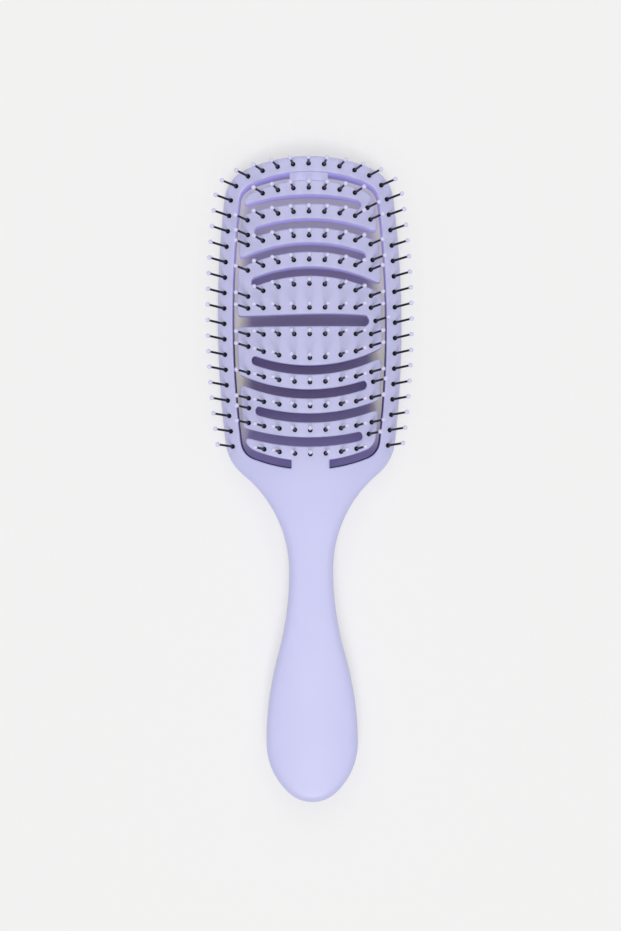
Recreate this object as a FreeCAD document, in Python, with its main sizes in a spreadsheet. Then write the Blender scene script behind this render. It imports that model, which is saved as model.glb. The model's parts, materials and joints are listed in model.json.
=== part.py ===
import FreeCAD, Part
import math
import os

import Sketcher

# Flat vent brush for detangling hair. It lies on its back on Z = 0, with the bristles up along +Z and the
# head towards +Y. The origin is under the middle of its length. Sizes are in millimetres, angles in degrees.

doc = FreeCAD.newDocument("detangling_brush")
dim = doc.addObject("Spreadsheet::Sheet", "dim")

SIZES = [
    # body outline, seen from the bristle side
    ("overall_length", 240),
    ("top_rim", 6.1),
    ("head_width", 68.8),
    ("head_top_radius", 64),
    ("head_corner_radius", 13.3),
    ("head_side_radius", 375),
    ("shoulder_radius", 18),
    ("neck_radius", 46),
    ("neck_width", 16.3),
    ("neck_drop", 37.5),
    ("grip_width", 34),
    ("grip_rise", 22),
    ("grip_end_radius", 13),
    # heights and edges
    ("apex_height", 16),
    ("dome_radius", 76),
    ("parting_height", 7.5),
    ("cover_rise", 20),
    ("front_bevel", 1.5),
    ("back_bevel", 2),
    ("peg_diameter", 4),
    ("peg_height", 3),
    ("peg_clearance", 0.1),
    # opening for the panel
    ("opening_width", 57.4),
    ("opening_length", 110.4),
    ("opening_side_radius", 370),
    ("opening_end_radius", 58),
    ("opening_corner_radius", 7.4),
    # serpentine panel
    ("side_gap", 1.75),
    ("end_gap", 3.1),
    ("panel_corner_radius", 6),
    ("bar_floor", 4),
    ("slot_width", 3.3),
    ("middle_slot_width", 4),
    ("middle_pitch", 18.3),
    ("end_bar", 7.1),
    ("slot_radius", 66),
    ("web_width", 4.9),
    ("opening_bevel", 0.5),
    ("loop_clearance", 0.2),
    ("bridge_width", 14.2),
    ("bridge_drop", 0.4),
    ("neck_bite", 1.5),
    # bristle pins
    ("pin_pitch", 5.7),
    ("row_inset", 2.9),
    ("row_radius", 79),
    ("frame_pin_inset", 3.1),
    ("frame_pin_lead", 33.4),
    ("pin_length", 14.5),
    ("socket_depth", 3),
    ("pin_fit", 0.02),
    ("collar_across", 2),
    ("collar_height", 0.5),
    ("stem_across", 0.9),
    ("ball_diameter", 1.6),
    ("pin_rake_angle", 4.5),
    # every cut runs past its solid by this much
    ("overrun", 2),
]
for line, (alias, size) in enumerate(SIZES, start=1):
    dim.set(f"A{line}", alias)
    dim.set(f"B{line}", str(size))
    dim.setAlias(f"B{line}", alias)
doc.recompute()

BARS = 10
MIDDLE_SLOT = BARS // 2
FRAME_PINS = 45
ROW_PINS = 9
OUTER_ROW_PINS = 7
PIN_SIDES = 4
TIP_SIDES = 5
# the arched slots flatten towards the ends of the panel; the list runs outwards from the middle slot
SLOT_RADIUS_SHARES = [0.88, 0.95, 1.03, 1.24]
# radius of a slot's round closed end, of the slot's width
SLOT_END_SHARE = 0.55
# the pin rows flatten too, after the straight innermost one
ROW_RADIUS_SHARES = [0.77, 0.9, 1.06, 1.16, 1]
# slots whose web carries a pin
PINNED_WEBS = [1, 2, 3, 5, 7, 8, 9]


def number(expression):
    found = dim.evalExpression(expression.replace("dim.", ""))
    return getattr(found, "Value", found)


def point(x, y):
    return FreeCAD.Vector(number(x), number(y), 0)


def crossings(first_centre, first_radius, second_centre, second_radius):
    # both points that lie on two circles
    across = second_centre.sub(first_centre)
    along = (across.Length**2 + first_radius**2 - second_radius**2) / (2 * across.Length)
    aside = math.sqrt(first_radius**2 - along**2)
    direction = FreeCAD.Vector(across).normalize()
    normal = FreeCAD.Vector(-direction.y, direction.x, 0)
    foot = first_centre.add(direction.multiply(along))
    return foot.add(FreeCAD.Vector(normal).multiply(aside)), foot.sub(normal.multiply(aside))


def touch(centre, towards, radius):
    # the point of a circle in the direction of another point
    return centre.add(towards.sub(centre).normalize().multiply(radius))


class Outline:
    # A sketch whose points, radii and joints are bound to the sizes.
    # An edge is its number in the sketch with the numbers of its first and last point along the outline.

    def __init__(self, sketch):
        self.sketch = sketch

    def bind(self, kind, where, expression):
        index = self.sketch.addConstraint(Sketcher.Constraint(kind, *where, number(expression)))
        self.sketch.setExpression(f"Constraints[{index}]", expression)

    def line(self, first, last):
        return self.sketch.addGeometry(Part.LineSegment(first, last)), START_POINT, END_POINT

    def arc(self, centre, first, last, clockwise):
        start, end = (last, first) if clockwise else (first, last)
        angles = [math.atan2(p.y - centre.y, p.x - centre.x) for p in (start, end)]
        circle = Part.Circle(centre, FreeCAD.Vector(0, 0, 1), start.sub(centre).Length)
        index = self.sketch.addGeometry(Part.ArcOfCircle(circle, *angles))
        return (index, END_POINT, START_POINT) if clockwise else (index, START_POINT, END_POINT)

    def join(self, kind, before, after):
        self.sketch.addConstraint(Sketcher.Constraint(kind, before[0], before[2], after[0], after[1]))

    def chain(self, kind, edges):
        for before, after in zip(edges, edges[1:]):
            self.join(kind, before, after)

    def place(self, edge, end, x=None, y=None):
        for kind, axis, expression in (("DistanceX", -2, x), ("DistanceY", -1, y)):
            if expression == "0":
                self.sketch.addConstraint(Sketcher.Constraint("PointOnObject", edge[0], end, axis))
            elif expression:
                self.bind(kind, (-1, START_POINT, edge[0], end), expression)

    def radius(self, edge, expression):
        self.bind("Radius", (edge[0],), expression)

    def equal(self, edge, other):
        self.sketch.addConstraint(Sketcher.Constraint("Equal", edge[0], other[0]))


# places along the brush: middle of the panel, narrowest place of the neck, end of the handle, widest place
# of the grip, and the seam where the handle cover starts
PANEL_Y = "(dim.overall_length / 2 - dim.top_rim - dim.opening_length / 2)"
NECK_Y = f"({PANEL_Y} - dim.opening_length / 2 - dim.neck_drop)"
END_Y = "(-dim.overall_length / 2)"
GRIP_Y = f"({END_Y} + dim.grip_rise)"
SEAM_Y = f"({NECK_Y} + dim.cover_rise)"

# numbers of the points of an edge in a sketch
START_POINT, END_POINT, CENTRE_POINT = range(1, 4)
# two measures this close are the same
NEAR = 1e-6


def rectangle(sketch, left, right, bottom, top):
    outline = Outline(sketch)
    corners = [(left, bottom), (right, bottom), (right, top), (left, top)]
    points = [point(x, y) for x, y in corners]
    edges = [outline.line(p, q) for p, q in zip(points, points[1:] + points[:1])]
    outline.chain("Coincident", edges + edges[:1])
    for edge, (x, y) in zip(edges, corners):
        outline.place(edge, edge[1], x, y)


def cushion(sketch, half_width, half_length, side_radius, end_radius, corner_radius):
    # A loop with four bulging sides and round corners about the middle of the panel.
    outline = Outline(sketch)
    middle = number(PANEL_Y)
    end_y = f"({half_length}) - ({end_radius})"
    side_x = f"({half_width}) - ({side_radius})"
    corner = number(corner_radius)
    end_centre = FreeCAD.Vector(0, number(end_y), 0)
    side_centre = FreeCAD.Vector(number(side_x), 0, 0)
    corner_centre = max(
        crossings(end_centre, number(end_radius) - corner, side_centre, number(side_radius) - corner),
        key=lambda p: p.y,
    )
    end_touch = touch(end_centre, corner_centre, number(end_radius))
    side_touch = touch(side_centre, corner_centre, number(side_radius))

    def flip(p, x_sign, y_sign):
        return FreeCAD.Vector(x_sign * p.x, middle + y_sign * p.y, 0)

    quarters = [(1, 1), (1, -1), (-1, -1), (-1, 1)]
    corners = []
    for x_sign, y_sign in quarters:
        ends = [flip(end_touch, x_sign, y_sign), flip(side_touch, x_sign, y_sign)]
        if x_sign != y_sign:
            ends.reverse()
        corners.append(outline.arc(flip(corner_centre, x_sign, y_sign), *ends, True))
    right = outline.arc(flip(side_centre, 1, 1), flip(side_touch, 1, 1), flip(side_touch, 1, -1), True)
    bottom = outline.arc(flip(end_centre, 1, -1), flip(end_touch, 1, -1), flip(end_touch, -1, -1), True)
    left = outline.arc(flip(side_centre, -1, 1), flip(side_touch, -1, -1), flip(side_touch, -1, 1), True)
    top = outline.arc(flip(end_centre, 1, 1), flip(end_touch, -1, 1), flip(end_touch, 1, 1), True)
    loop = [top, corners[0], right, corners[1], bottom, corners[2], left, corners[3]]
    outline.chain("Tangent", loop + loop[:1])
    outline.place(top, CENTRE_POINT, "0", f"{PANEL_Y} + {end_y}")
    outline.place(bottom, CENTRE_POINT, "0", f"{PANEL_Y} - ({end_y})")
    outline.place(right, CENTRE_POINT, side_x, PANEL_Y)
    outline.place(left, CENTRE_POINT, f"-({side_x})", PANEL_Y)
    outline.radius(top, end_radius)
    outline.equal(top, bottom)
    outline.radius(right, side_radius)
    outline.equal(right, left)
    outline.radius(corners[0], corner_radius)
    for other in corners[1:]:
        outline.equal(corners[0], other)


def grip_side(outline, first):
    # Right side of the handle from a point on the neck arc to the middle of the rounded end.
    neck = point("dim.neck_width / 2", NECK_Y)
    bulge = point("dim.grip_width / 2", GRIP_Y)
    end = point("0", END_Y)
    across = bulge.sub(neck)
    sway = (across.x**2 + across.y**2) / (4 * across.x)
    turn = neck.add(bulge).multiply(0.5)
    tip_radius = number("dim.grip_end_radius")
    tip_centre = FreeCAD.Vector(0, end.y + tip_radius, 0)
    drop = bulge.y - tip_centre.y
    flank = (bulge.x**2 + drop**2 - tip_radius**2) / (2 * (bulge.x - tip_radius))
    flank_centre = FreeCAD.Vector(bulge.x - flank, bulge.y, 0)
    flank_end = touch(flank_centre, tip_centre, flank)
    neck_centre = FreeCAD.Vector(neck.x + number("dim.neck_radius"), neck.y, 0)
    edges = [
        outline.arc(neck_centre, first, neck, False),
        outline.arc(FreeCAD.Vector(neck.x + sway, neck.y, 0), neck, turn, False),
        outline.arc(FreeCAD.Vector(bulge.x - sway, bulge.y, 0), turn, bulge, True),
        outline.arc(flank_centre, bulge, flank_end, True),
        outline.arc(tip_centre, flank_end, end, True),
    ]
    outline.chain("Tangent", edges)
    neck_arc, hollow, swell, side, tip = edges
    outline.radius(neck_arc, "dim.neck_radius")
    outline.place(neck_arc, CENTRE_POINT, y=NECK_Y)
    outline.place(neck_arc, neck_arc[2], "dim.neck_width / 2", NECK_Y)
    outline.equal(hollow, swell)
    outline.place(swell, CENTRE_POINT, y=GRIP_Y)
    outline.place(swell, swell[2], "dim.grip_width / 2", GRIP_Y)
    outline.radius(tip, "dim.grip_end_radius")
    outline.place(tip, CENTRE_POINT, x="0")
    outline.place(tip, tip[2], "0", END_Y)
    return edges


def half_body(sketch):
    # Right half of the whole brush seen from above, closed along the centre line.
    outline = Outline(sketch)
    top = point("0", "dim.overall_length / 2")
    corner = number("dim.head_corner_radius")
    shoulder = number("dim.shoulder_radius")
    top_radius = number("dim.head_top_radius")
    side_radius = number("dim.head_side_radius")
    neck_radius = number("dim.neck_radius")
    top_centre = FreeCAD.Vector(0, top.y - top_radius, 0)
    side_centre = point("dim.head_width / 2 - dim.head_side_radius", PANEL_Y)
    neck_centre = point("dim.neck_width / 2 + dim.neck_radius", NECK_Y)
    corner_centre = max(
        crossings(top_centre, top_radius - corner, side_centre, side_radius - corner), key=lambda p: p.y
    )
    shoulder_centre = max(
        crossings(side_centre, side_radius - shoulder, neck_centre, neck_radius + shoulder),
        key=lambda p: p.y,
    )
    corner_start = touch(top_centre, corner_centre, top_radius)
    corner_end = touch(side_centre, corner_centre, side_radius)
    shoulder_start = touch(side_centre, shoulder_centre, side_radius)
    shoulder_end = touch(neck_centre, shoulder_centre, neck_radius)
    head = [
        outline.arc(top_centre, top, corner_start, True),
        outline.arc(corner_centre, corner_start, corner_end, True),
        outline.arc(side_centre, corner_end, shoulder_start, True),
        outline.arc(shoulder_centre, shoulder_start, shoulder_end, True),
    ]
    grip = grip_side(outline, shoulder_end)
    spine = outline.line(point("0", END_Y), top)
    outline.chain("Tangent", head + grip[:1])
    outline.chain("Coincident", [grip[-1], spine, head[0]])
    crown, corner_arc, side, shoulder_arc = head
    outline.place(crown, CENTRE_POINT, x="0")
    outline.place(crown, crown[1], "0", "dim.overall_length / 2")
    outline.radius(crown, "dim.head_top_radius")
    outline.radius(corner_arc, "dim.head_corner_radius")
    outline.radius(side, "dim.head_side_radius")
    outline.place(side, CENTRE_POINT, "dim.head_width / 2 - dim.head_side_radius", PANEL_Y)
    outline.radius(shoulder_arc, "dim.shoulder_radius")


def half_cover(sketch):
    # Right half of the handle below the cover's upper end.
    outline = Outline(sketch)
    reach = "dim.neck_width / 2 + dim.neck_radius - sqrt(dim.neck_radius^2 - dim.cover_rise^2)"
    start = point(reach, SEAM_Y)
    grip = grip_side(outline, start)
    middle = point("0", SEAM_Y)
    spine = outline.line(point("0", END_Y), middle)
    shoulder = outline.line(middle, start)
    outline.chain("Coincident", [grip[-1], spine, shoulder, grip[0]])
    outline.place(spine, spine[2], "0", SEAM_Y)
    outline.place(grip[0], grip[0][1], y=SEAM_Y)


def dome_cut(sketch, apex):
    # Everything above the long dome that the bristle side follows, seen along the brush.
    outline = Outline(sketch)
    half = "dim.head_width / 2 + dim.overrun"
    edge = f"{apex} - dim.dome_radius + sqrt(dim.dome_radius^2 - ({half})^2)"
    lid = "dim.apex_height + 2 * dim.overrun"
    left, right = point(f"-({half})", edge), point(half, edge)
    arc = outline.arc(point("0", f"{apex} - dim.dome_radius"), left, right, True)
    wall = outline.line(right, point(half, lid))
    roof = outline.line(point(half, lid), point(f"-({half})", lid))
    far_wall = outline.line(point(f"-({half})", lid), left)
    outline.chain("Coincident", [arc, wall, roof, far_wall, arc])
    outline.radius(arc, "dim.dome_radius")
    outline.place(arc, arc[1], f"-({half})", edge)
    outline.place(arc, arc[2], half, edge)
    outline.place(roof, roof[1], half, lid)
    outline.place(roof, roof[2], f"-({half})", lid)


def arched(apex, radius, sign, x):
    # height on the page of an arched edge at a given distance from the centre line
    if sign == 0:
        return f"({apex})"
    bend = f"(({radius}) - sqrt(({radius})^2 - ({x})^2))"
    return f"({apex}) - {bend}" if sign > 0 else f"({apex}) + {bend}"


def band(sketch, upper, lower, left, right, round_end=0, end_radius=""):
    # The strip between two arched edges, each given by its apex, radius and the sign of its bulge.
    # A round end bulges out on the right for 1 and on the left for -1.
    outline = Outline(sketch)
    corners = [
        (left, arched(*upper, left)),
        (right, arched(*upper, right)),
        (right, arched(*lower, right)),
        (left, arched(*lower, left)),
    ]
    points = [point(x, y) for x, y in corners]

    def edge(first, last, apex, radius, sign, clockwise):
        if sign == 0:
            return outline.line(first, last)
        centre = point("0", f"({apex}) - ({radius})" if sign > 0 else f"({apex}) + ({radius})")
        drawn = outline.arc(centre, first, last, clockwise)
        outline.radius(drawn, radius)
        return drawn

    def end(first, last, is_round):
        if not is_round:
            return outline.line(first, last)
        middle = first.add(last).multiply(0.5)
        back = math.sqrt(number(end_radius) ** 2 - last.sub(middle).Length ** 2)
        drawn = outline.arc(middle.sub(FreeCAD.Vector(round_end * back, 0, 0)), first, last, True)
        outline.radius(drawn, end_radius)
        return drawn

    edges = [
        edge(points[0], points[1], *upper, upper[2] > 0),
        end(points[1], points[2], round_end > 0),
        edge(points[2], points[3], *lower, lower[2] < 0),
        end(points[3], points[0], round_end < 0),
    ]
    outline.chain("Coincident", edges + edges[:1])
    for drawn, (x, y) in zip(edges, corners):
        outline.place(drawn, drawn[1], x, y)


HALF_PANEL_WIDTH = "(dim.opening_width / 2 - dim.side_gap)"
HALF_PANEL_LENGTH = "(dim.opening_length / 2 - dim.end_gap)"
PANEL_SIDE_RADIUS = "(dim.opening_side_radius - dim.side_gap)"
PANEL_END_RADIUS = "(dim.opening_end_radius - dim.end_gap)"
PAST_PANEL = f"({HALF_PANEL_WIDTH} + dim.overrun)"
# the arched slots stand at even steps between the wide bars and the end bars
SLOT_STEPS = MIDDLE_SLOT - 2
SLOT_PITCH = f"(({HALF_PANEL_LENGTH} - dim.middle_pitch - dim.end_bar) / {SLOT_STEPS})"


def slot_bulge(slot):
    return (slot < MIDDLE_SLOT) - (slot > MIDDLE_SLOT)


def slot_offset(slot):
    # distance of a slot from the middle of the panel, along the brush
    steps = abs(slot - MIDDLE_SLOT)
    if steps == 0:
        return "0"
    return f"{slot_bulge(slot)} * (dim.middle_pitch + {steps - 1} * {SLOT_PITCH})"


def slot_radius(slot):
    steps = abs(slot - MIDDLE_SLOT)
    return f"(dim.slot_radius * {SLOT_RADIUS_SHARES[steps - 1]})" if steps else ""


def slot_width(slot):
    return "dim.middle_slot_width" if slot == MIDDLE_SLOT else "dim.slot_width"


def slot_edge(slot, side, clearance="0"):
    # side is 1 for the edge nearer the head's tip, -1 for the other
    apex = f"{PANEL_Y} + {slot_offset(slot)} + {side} * ({slot_width(slot)} / 2 - {clearance})"
    return apex, slot_radius(slot), slot_bulge(slot)


def web_place(slot):
    # middle of the web that closes a slot, right and left by turns
    hand = 1 if slot % 2 else -1
    aside = f"({PANEL_SIDE_RADIUS} - sqrt({PANEL_SIDE_RADIUS}^2 - ({slot_offset(slot)})^2))"
    x = f"({HALF_PANEL_WIDTH} - {aside} - dim.web_width / 2)"
    apex = f"{PANEL_Y} + {slot_offset(slot)}"
    return hand, x, arched(apex, slot_radius(slot), slot_bulge(slot), x)


def new_body(label):
    made = doc.addObject("PartDesign::Body", label)
    made.Label = label
    return made


def body_sketch(body, name, plane="XY_Plane", height=None):
    sketch = body.newObject("Sketcher::SketchObject", name)
    origin = [f for f in body.Origin.OriginFeatures if f.Role == plane]
    sketch.AttachmentSupport = [(origin[0], "")]
    sketch.MapMode = "FlatFace"
    if height:
        sketch.setExpression("AttachmentOffset.Base.z", height)
    return sketch


def pad(body, sketch, length):
    made = body.newObject("PartDesign::Pad", sketch.Name + "_pad")
    made.Profile = sketch
    made.setExpression("Length", length)
    doc.recompute()
    return made


def pocket(body, sketch, length=None, both_ways=False):
    before = body.Shape.Volume
    made = body.newObject("PartDesign::Pocket", sketch.Name + "_cut")
    made.Profile = sketch
    if length:
        made.setExpression("Length", length)
    else:
        made.Type = "ThroughAll"
    if both_ways:
        made.SideType = "Symmetric"
    else:
        made.Reversed = True
    doc.recompute()
    if not body.Shape.Volume < before:
        raise RuntimeError(sketch.Name + " cuts nothing")
    return made


def mirror_halves(body, half):
    made = body.newObject("PartDesign::Mirrored", half.Name + "_mirror")
    made.Originals = [half]
    plane = [f for f in body.Origin.OriginFeatures if f.Role == "YZ_Plane"]
    made.MirrorPlane = (plane[0], [""])
    body.Tip = made
    doc.recompute()


def bevel(body, name, pick, size):
    # a bevel on the edges that a function picks from the body's present shape
    base = body.Tip
    shape = base.Shape
    picked = pick(shape)
    names = [f"Edge{i}" for i, e in enumerate(shape.Edges, start=1) if holds(picked, e)]
    made = body.newObject("PartDesign::Chamfer", name)
    made.Base = (base, names)
    made.setExpression("Size", size)
    doc.recompute()


def holds(edges, edge):
    return any(edge.isSame(e) for e in edges)


def dome_faces(shape):
    # faces of the long dome that the bristle side follows
    axis_height = number("dim.apex_height - dim.dome_radius")
    radius = number("dim.dome_radius")
    found = []
    for face in shape.Faces:
        if isinstance(face.Surface, Part.Cylinder) and abs(face.Surface.Radius - radius) < radius * NEAR:
            if abs(face.Surface.Center.z - axis_height) < radius * NEAR:
                found.append(face)
    return found


def flat_face(shape, height):
    # the largest level face at a height
    level = [f for f in shape.Faces if f.BoundBox.ZLength < NEAR and abs(f.BoundBox.ZMin - height) < NEAR]
    return max(level, key=lambda f: f.Area)


def outer_rim(shape):
    # edges of the dome along the outside of the brush
    return dome_faces(shape)[0].OuterWire.Edges


def inner_rim(shape):
    # edges of the dome round the opening
    outer = outer_rim(shape)
    return [e for e in dome_faces(shape)[0].Edges if not holds(outer, e)]


def back_rim(shape):
    # edges of the flat back, without the seam where the handle cover starts
    seam = number(SEAM_Y)
    rim = flat_face(shape, 0).OuterWire.Edges
    return [e for e in rim if abs(e.BoundBox.YMin - seam) + abs(e.BoundBox.YMax - seam) > NEAR]


def build_front():
    # Frame, shoulders, neck and the front half of the handle, without the panel's last bar.
    body = new_body("front_blank")
    sketch = body_sketch(body, "front_outline")
    half_body(sketch)
    mirror_halves(body, pad(body, sketch, "dim.apex_height + dim.overrun"))
    opening = body_sketch(body, "panel_opening")
    cushion(
        opening,
        "dim.opening_width / 2",
        "dim.opening_length / 2",
        "dim.opening_side_radius",
        "dim.opening_end_radius",
        "dim.opening_corner_radius",
    )
    pocket(body, opening)
    dome = body_sketch(body, "front_dome", "XZ_Plane")
    dome_cut(dome, "dim.apex_height")
    pocket(body, dome, both_ways=True)
    seat = body_sketch(body, "cover_seat")
    aside = "dim.grip_width / 2 + dim.overrun"
    rectangle(seat, f"-({aside})", aside, f"{END_Y} - dim.overrun", SEAM_Y)
    pocket(body, seat, "dim.parting_height")
    pegs = body_sketch(body, "peg_sockets", height="dim.parting_height")
    draw_pegs(pegs, "dim.peg_diameter / 2 + dim.peg_clearance")
    pocket(body, pegs, "dim.peg_height + dim.peg_clearance")
    bevel(body, "front_rim", outer_rim, "dim.front_bevel")
    bevel(body, "opening_edge", inner_rim, "dim.opening_bevel")
    bevel(body, "back_rim", back_rim, "dim.back_bevel")
    return body, opening


def draw_pegs(sketch, radius):
    # one peg at the narrowest place of the handle and one at the widest
    outline = Outline(sketch)
    for y in (NECK_Y, GRIP_Y):
        circle = Part.Circle(point("0", y), FreeCAD.Vector(0, 0, 1), number(radius))
        drawn = (sketch.addGeometry(circle),)
        outline.radius(drawn, radius)
        outline.place(drawn, CENTRE_POINT, "0", y)


def build_cover():
    # Rear half of the handle, with pegs that locate it in the front half.
    body = new_body("handle_cover")
    sketch = body_sketch(body, "cover_outline")
    half_cover(sketch)
    mirror_halves(body, pad(body, sketch, "dim.parting_height"))
    bevel(body, "cover_rim", back_rim, "dim.back_bevel")
    pegs = body_sketch(body, "cover_pegs", height="dim.parting_height")
    draw_pegs(pegs, "dim.peg_diameter / 2")
    pad(body, pegs, "dim.peg_height")
    return body


def build_panel():
    # The whole serpentine before it is parted into bars and webs.
    body = new_body("panel_blank")
    sketch = body_sketch(body, "panel_outline", height="dim.bar_floor")
    cushion(
        sketch,
        HALF_PANEL_WIDTH,
        HALF_PANEL_LENGTH,
        PANEL_SIDE_RADIUS,
        PANEL_END_RADIUS,
        "dim.panel_corner_radius",
    )
    tall = "dim.apex_height - dim.bar_floor + dim.overrun"
    pad(body, sketch, tall)
    tongue = body_sketch(body, "neck_tongue", height="dim.bar_floor")
    rectangle(
        tongue,
        "-dim.bridge_width / 2",
        "dim.bridge_width / 2",
        f"{PANEL_Y} - dim.opening_length / 2 - dim.neck_bite",
        f"{PANEL_Y} - {HALF_PANEL_LENGTH} + dim.overrun",
    )
    pad(body, tongue, tall)
    slots = body_sketch(body, "slots", height="dim.bar_floor")
    for slot in range(1, BARS):
        hand, x, _ = web_place(slot)
        radius = f"({slot_width(slot)} * {SLOT_END_SHARE})"
        bulge = f"({radius} - sqrt({radius}^2 - ({slot_width(slot)} / 2)^2))"
        closed = f"({x} - dim.web_width / 2 - {bulge})"
        left, right = (f"-{PAST_PANEL}", closed) if hand > 0 else (f"-{closed}", PAST_PANEL)
        band(slots, slot_edge(slot, 1), slot_edge(slot, -1), left, right, hand, radius)
    pocket(body, slots)
    dome = body_sketch(body, "panel_dome", "XZ_Plane")
    dome_cut(dome, "dim.apex_height")
    pocket(body, dome, both_ways=True)
    return body


def build_bridge():
    # The block between the frame and the first bar, a little lower than both.
    body = new_body("top_bridge")
    sketch = body_sketch(body, "bridge_outline", height="dim.bar_floor")
    half = "dim.bridge_width / 2"
    upper = (f"{PANEL_Y} + dim.opening_length / 2", "dim.opening_end_radius", 1)
    lower = (f"{PANEL_Y} + {HALF_PANEL_LENGTH}", PANEL_END_RADIUS, 1)
    band(sketch, upper, lower, f"-{half}", half)
    pad(body, sketch, "dim.apex_height - dim.bar_floor + dim.overrun")
    dome = body_sketch(body, "bridge_dome", "XZ_Plane")
    dome_cut(dome, "dim.apex_height - dim.bridge_drop")
    pocket(body, dome, both_ways=True)
    return body


def strip_of_panel(panel, name, upper, lower):
    # the part of the panel that lies between two edges
    sketch = doc.addObject("Sketcher::SketchObject", name + "_strip")
    band(sketch, upper, lower, f"-{PAST_PANEL}", PAST_PANEL)
    prism = doc.addObject("Part::Extrusion", name + "_prism")
    prism.Base = sketch
    prism.DirMode = "Normal"
    prism.Solid = True
    prism.setExpression("LengthFwd", "dim.apex_height + dim.overrun")
    strip = doc.addObject("Part::Common", name + "_blank")
    strip.Base = panel
    strip.Tool = prism
    return strip


# height of the flat under a ball, where the stem ends
BALL_FOOT = "dim.pin_length - dim.ball_diameter / 2 - sqrt(dim.ball_diameter^2 - dim.stem_across^2) / 2"
# turn that sets the flats of a pin along and across the brush
HALF_STEP = f"180 / {PIN_SIDES}"


def build_pin():
    # Master pin, standing on the surface at its own origin: a root with its collar, and a stem.
    root = doc.addObject("Part::Prism", "pin_root")
    root.Polygon = PIN_SIDES
    root.setExpression("Circumradius", "dim.collar_across / 2")
    root.setExpression("Height", "dim.socket_depth + dim.collar_height")
    root.setExpression("Placement.Base.z", "-dim.socket_depth")
    root.setExpression("Placement.Rotation.Angle", HALF_STEP)
    stem = doc.addObject("Part::Prism", "pin_stem")
    stem.Polygon = PIN_SIDES
    stem.setExpression("Circumradius", "dim.stem_across / 2")
    stem.setExpression("Height", BALL_FOOT)
    stem.setExpression("Placement.Rotation.Angle", HALF_STEP)
    pin = doc.addObject("Part::Fuse", "pin_master")
    pin.Base = root
    pin.Tool = stem
    return pin


def build_tip():
    # Master ball tip, cut as a bead with a flat foot on the stem.
    foot = doc.addObject("Part::RegularPolygon", "tip_foot")
    girth = doc.addObject("Part::RegularPolygon", "tip_girth")
    crown = doc.addObject("Part::Vertex", "tip_crown")
    for ring, across, height in (
        (foot, "dim.stem_across", BALL_FOOT),
        (girth, "dim.ball_diameter", "dim.pin_length - dim.ball_diameter / 2"),
    ):
        ring.Polygon = TIP_SIDES
        ring.setExpression("Circumradius", f"{across} / 2")
        ring.setExpression("Placement.Base.z", height)
    crown.setExpression("Z", "dim.pin_length")
    tip = doc.addObject("Part::Loft", "tip_master")
    tip.Sections = [foot, girth, crown]
    tip.Solid = True
    tip.Ruled = True
    tip.Linearize = True
    return tip


def build_socket():
    # Master socket for a pin's root, open above the surface.
    socket = doc.addObject("Part::Prism", "socket_master")
    socket.Polygon = PIN_SIDES
    socket.setExpression("Circumradius", "dim.collar_across / 2 + dim.pin_fit")
    socket.setExpression("Height", "dim.socket_depth + dim.overrun")
    socket.setExpression("Placement.Base.z", "-dim.socket_depth")
    socket.setExpression("Placement.Rotation.Angle", HALF_STEP)
    return socket


def stand(x, y):
    # Placement of a pin: square to the dome across the brush, raked towards the head's tip along it.
    radius = number("dim.dome_radius")
    z = number("dim.apex_height") - radius + math.sqrt(radius**2 - x**2)
    tilt = FreeCAD.Rotation(FreeCAD.Vector(0, 1, 0), math.degrees(math.asin(x / radius)))
    rake = FreeCAD.Rotation(FreeCAD.Vector(1, 0, 0), -number("dim.pin_rake_angle"))
    return FreeCAD.Placement(FreeCAD.Vector(x, y, z), tilt.multiply(rake))


def copies(name, master, places):
    # separate solids, one for each place, in one object
    group = doc.addObject("Part::Feature", name)
    shapes = []
    for place in places:
        shape = master.Shape.copy()
        shape.Placement = place.multiply(shape.Placement)
        shapes.append(shape)
    group.Shape = Part.makeCompound(shapes)
    group.Placement = FreeCAD.Placement()
    group.Label = name
    return group


def row_offset(steps):
    # distance of a pin row from the middle of the panel: two rows on a wide bar, then one along each bar's middle
    if steps == 0:
        return "dim.middle_slot_width / 2 + dim.row_inset"
    if steps == 1:
        return "dim.middle_pitch - dim.slot_width / 2 - dim.row_inset"
    if steps <= MIDDLE_SLOT - 1:
        return f"dim.middle_pitch + ({steps} - 3 / 2) * {SLOT_PITCH}"
    return f"{HALF_PANEL_LENGTH} - (dim.end_bar - dim.slot_width / 2) / 2"


def row_places(row):
    # pins of one row of the panel; rows run from 1 at the head's tip
    half = len(ROW_RADIUS_SHARES)
    sign, steps = (1, half + 1 - row) if row <= half + 1 else (-1, row - half - 2)
    offset = number(row_offset(steps))
    reach = (OUTER_ROW_PINS if steps == half else ROW_PINS) // 2
    places = []
    for column in range(-reach, reach + 1):
        x = column * number("dim.pin_pitch")
        bend = 0
        if steps:
            radius = number("dim.row_radius") * ROW_RADIUS_SHARES[steps - 1]
            bend = radius - math.sqrt(radius**2 - x**2)
        places.append(stand(x, number(PANEL_Y) + sign * (offset - bend)))
    return places


def bar_rows(bar):
    # the two bars beside the middle slot are wide and carry two rows each
    if bar < MIDDLE_SLOT:
        return [bar]
    if bar == MIDDLE_SLOT:
        return [bar, bar + 1]
    if bar == MIDDLE_SLOT + 1:
        return [bar + 1, bar + 2]
    return [bar + 2]


def web_bar(slot):
    # the moving bar that a web hangs
    return slot + 1 if slot <= MIDDLE_SLOT else slot


def web_pin(slot):
    hand, x, y = web_place(slot)
    return stand(hand * number(x), number(y))


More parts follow.
